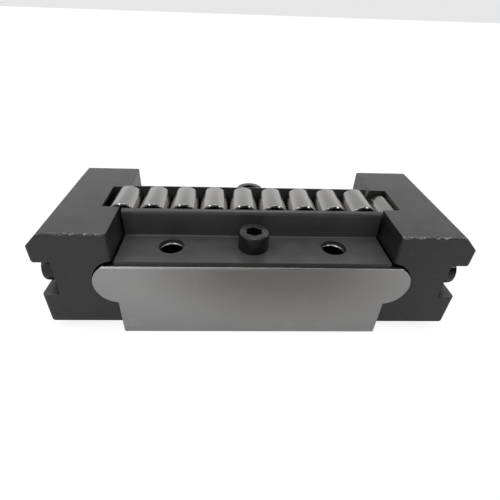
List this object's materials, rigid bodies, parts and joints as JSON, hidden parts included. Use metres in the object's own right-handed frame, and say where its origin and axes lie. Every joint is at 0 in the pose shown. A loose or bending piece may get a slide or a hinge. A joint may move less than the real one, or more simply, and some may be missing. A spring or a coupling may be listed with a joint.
{
  "type": "recirculating linear roller bearing",
  "caption": "Flat recirculating roller bearing for a linear guide: ground steel raceway body, full row of cylindrical rollers, black end caps and sheet steel retainers.",
  "frame": {"origin": "centre of the mounting face under the raceway body", "axes": "+Z from the mounting face to the roller crowns, +X along the travel, Y across it, with the ground front face at -Y"},
  "size_m": [0.1362, 0.0516, 0.04],
  "materials": {
    "ground_steel": "satin",
    "black_oxide_cap": "satin",
    "formed_sheet": "satin",
    "screw_black": "satin",
    "roller_steel": "polished"
  },
  "bodies": {
    "guide_body": {"raceway_body": "ground_steel", "left_end_cap": "black_oxide_cap", "right_end_cap": "black_oxide_cap", "front_retainer": "formed_sheet", "rear_retainer": "formed_sheet", "front_retainer_screw": "screw_black", "rear_retainer_screw": "screw_black", "left_front_cap_screw": "screw_black", "left_rear_cap_screw": "screw_black", "right_front_cap_screw": "screw_black", "right_rear_cap_screw": "screw_black"},
    "loaded_row": {"upper_roller_5": "roller_steel"},
    "right_turn_set": {"right_turn_roller_2": "roller_steel"},
    "return_row": {"lower_roller_4": "roller_steel"},
    "left_turn_set": {"left_turn_roller_2": "roller_steel"},
    "upper_roller_1": {"upper_roller_1": "roller_steel"},
    "upper_roller_2": {"upper_roller_2": "roller_steel"},
    "upper_roller_3": {"upper_roller_3": "roller_steel"},
    "upper_roller_4": {"upper_roller_4": "roller_steel"},
    "upper_roller_6": {"upper_roller_6": "roller_steel"},
    "upper_roller_7": {"upper_roller_7": "roller_steel"},
    "upper_roller_8": {"upper_roller_8": "roller_steel"},
    "upper_roller_9": {"upper_roller_9": "roller_steel"},
    "right_turn_roller_1": {"right_turn_roller_1": "roller_steel"},
    "right_turn_roller_3": {"right_turn_roller_3": "roller_steel"},
    "lower_roller_1": {"lower_roller_1": "roller_steel"},
    "lower_roller_2": {"lower_roller_2": "roller_steel"},
    "lower_roller_3": {"lower_roller_3": "roller_steel"},
    "lower_roller_5": {"lower_roller_5": "roller_steel"},
    "lower_roller_6": {"lower_roller_6": "roller_steel"},
    "lower_roller_7": {"lower_roller_7": "roller_steel"},
    "lower_roller_8": {"lower_roller_8": "roller_steel"},
    "left_turn_roller_1": {"left_turn_roller_1": "roller_steel"},
    "left_turn_roller_3": {"left_turn_roller_3": "roller_steel"}
  },
  "joints": [
    {"name": "loaded_row_travel", "type": "slide", "parent": "guide_body", "child": "loaded_row", "axis": [1, 0, 0], "range_m": [0, 0.006]},
    {"name": "right_turn_travel", "type": "hinge", "parent": "guide_body", "child": "right_turn_set", "pos_m": [0.0436, 0, 0.0236], "axis": [0, 1, 0], "range_deg": [0, 33.1]},
    {"name": "return_row_travel", "type": "slide", "parent": "guide_body", "child": "return_row", "axis": [-1, 0, 0], "range_m": [0, 0.006]},
    {"name": "left_turn_travel", "type": "hinge", "parent": "guide_body", "child": "left_turn_set", "pos_m": [-0.0436, 0, 0.0236], "axis": [0, 1, 0], "range_deg": [0, 33.1]},
    {"name": "upper_roller_1_spin", "type": "hinge", "parent": "loaded_row", "child": "upper_roller_1", "pos_m": [-0.0436, 0, 0.035], "axis": [0, 1, 0], "continuous": true},
    {"name": "upper_roller_2_spin", "type": "hinge", "parent": "loaded_row", "child": "upper_roller_2", "pos_m": [-0.03345, 0, 0.035], "axis": [0, 1, 0], "continuous": true},
    {"name": "upper_roller_3_spin", "type": "hinge", "parent": "loaded_row", "child": "upper_roller_3", "pos_m": [-0.0233, 0, 0.035], "axis": [0, 1, 0], "continuous": true},
    {"name": "upper_roller_4_spin", "type": "hinge", "parent": "loaded_row", "child": "upper_roller_4", "pos_m": [-0.01315, 0, 0.035], "axis": [0, 1, 0], "continuous": true},
    {"name": "upper_roller_6_spin", "type": "hinge", "parent": "loaded_row", "child": "upper_roller_6", "pos_m": [0.00715, 0, 0.035], "axis": [0, 1, 0], "continuous": true},
    {"name": "upper_roller_7_spin", "type": "hinge", "parent": "loaded_row", "child": "upper_roller_7", "pos_m": [0.0173, 0, 0.035], "axis": [0, 1, 0], "continuous": true},
    {"name": "upper_roller_8_spin", "type": "hinge", "parent": "loaded_row", "child": "upper_roller_8", "pos_m": [0.02745, 0, 0.035], "axis": [0, 1, 0], "continuous": true},
    {"name": "upper_roller_9_spin", "type": "hinge", "parent": "loaded_row", "child": "upper_roller_9", "pos_m": [0.0376, 0, 0.035], "axis": [0, 1, 0], "continuous": true},
    {"name": "right_turn_roller_1_spin", "type": "hinge", "parent": "right_turn_set", "child": "right_turn_roller_1", "pos_m": [0.04782, 0, 0.0331], "axis": [0, 1, 0], "continuous": true},
    {"name": "right_turn_roller_3_spin", "type": "hinge", "parent": "right_turn_set", "child": "right_turn_roller_3", "pos_m": [0.05008, 0, 0.01547], "axis": [0, 1, 0], "continuous": true},
    {"name": "lower_roller_1_spin", "type": "hinge", "parent": "return_row", "child": "lower_roller_1", "pos_m": [0.03994, 0, 0.0132], "axis": [0, 1, 0], "continuous": true},
    {"name": "lower_roller_2_spin", "type": "hinge", "parent": "return_row", "child": "lower_roller_2", "pos_m": [0.02941, 0, 0.0132], "axis": [0, 1, 0], "continuous": true},
    {"name": "lower_roller_3_spin", "type": "hinge", "parent": "return_row", "child": "lower_roller_3", "pos_m": [0.01888, 0, 0.0132], "axis": [0, 1, 0], "continuous": true},
    {"name": "lower_roller_5_spin", "type": "hinge", "parent": "return_row", "child": "lower_roller_5", "pos_m": [-0.00217, 0, 0.0132], "axis": [0, 1, 0], "continuous": true},
    {"name": "lower_roller_6_spin", "type": "hinge", "parent": "return_row", "child": "lower_roller_6", "pos_m": [-0.0127, 0, 0.0132], "axis": [0, 1, 0], "continuous": true},
    {"name": "lower_roller_7_spin", "type": "hinge", "parent": "return_row", "child": "lower_roller_7", "pos_m": [-0.02323, 0, 0.0132], "axis": [0, 1, 0], "continuous": true},
    {"name": "lower_roller_8_spin", "type": "hinge", "parent": "return_row", "child": "lower_roller_8", "pos_m": [-0.03376, 0, 0.0132], "axis": [0, 1, 0], "continuous": true},
    {"name": "left_turn_roller_1_spin", "type": "hinge", "parent": "left_turn_set", "child": "left_turn_roller_1", "pos_m": [-0.04429, 0, 0.01322], "axis": [0, 1, 0], "continuous": true},
    {"name": "left_turn_roller_3_spin", "type": "hinge", "parent": "left_turn_set", "child": "left_turn_roller_3", "pos_m": [-0.05249, 0, 0.029], "axis": [0, 1, 0], "continuous": true}
  ],
  "couplings": [
    {"joint": "right_turn_travel", "follows": "loaded_row_travel", "rad_per_m": 96.154},
    {"joint": "return_row_travel", "follows": "loaded_row_travel", "ratio": 1},
    {"joint": "left_turn_travel", "follows": "loaded_row_travel", "rad_per_m": 96.154},
    {"joint": "upper_roller_1_spin", "follows": "loaded_row_travel", "rad_per_m": 200},
    {"joint": "upper_roller_2_spin", "follows": "loaded_row_travel", "rad_per_m": 200},
    {"joint": "upper_roller_3_spin", "follows": "loaded_row_travel", "rad_per_m": 200},
    {"joint": "upper_roller_4_spin", "follows": "loaded_row_travel", "rad_per_m": 200},
    {"joint": "upper_roller_6_spin", "follows": "loaded_row_travel", "rad_per_m": 200},
    {"joint": "upper_roller_7_spin", "follows": "loaded_row_travel", "rad_per_m": 200},
    {"joint": "upper_roller_8_spin", "follows": "loaded_row_travel", "rad_per_m": 200},
    {"joint": "upper_roller_9_spin", "follows": "loaded_row_travel", "rad_per_m": 200},
    {"joint": "right_turn_roller_1_spin", "follows": "loaded_row_travel", "rad_per_m": -296.15},
    {"joint": "right_turn_roller_3_spin", "follows": "loaded_row_travel", "rad_per_m": -296.15},
    {"joint": "lower_roller_1_spin", "follows": "loaded_row_travel", "rad_per_m": -200},
    {"joint": "lower_roller_2_spin", "follows": "loaded_row_travel", "rad_per_m": -200},
    {"joint": "lower_roller_3_spin", "follows": "loaded_row_travel", "rad_per_m": -200},
    {"joint": "lower_roller_5_spin", "follows": "loaded_row_travel", "rad_per_m": -200},
    {"joint": "lower_roller_6_spin", "follows": "loaded_row_travel", "rad_per_m": -200},
    {"joint": "lower_roller_7_spin", "follows": "loaded_row_travel", "rad_per_m": -200},
    {"joint": "lower_roller_8_spin", "follows": "loaded_row_travel", "rad_per_m": -200},
    {"joint": "left_turn_roller_1_spin", "follows": "loaded_row_travel", "rad_per_m": -296.15},
    {"joint": "left_turn_roller_3_spin", "follows": "loaded_row_travel", "rad_per_m": -296.15}
  ]
}
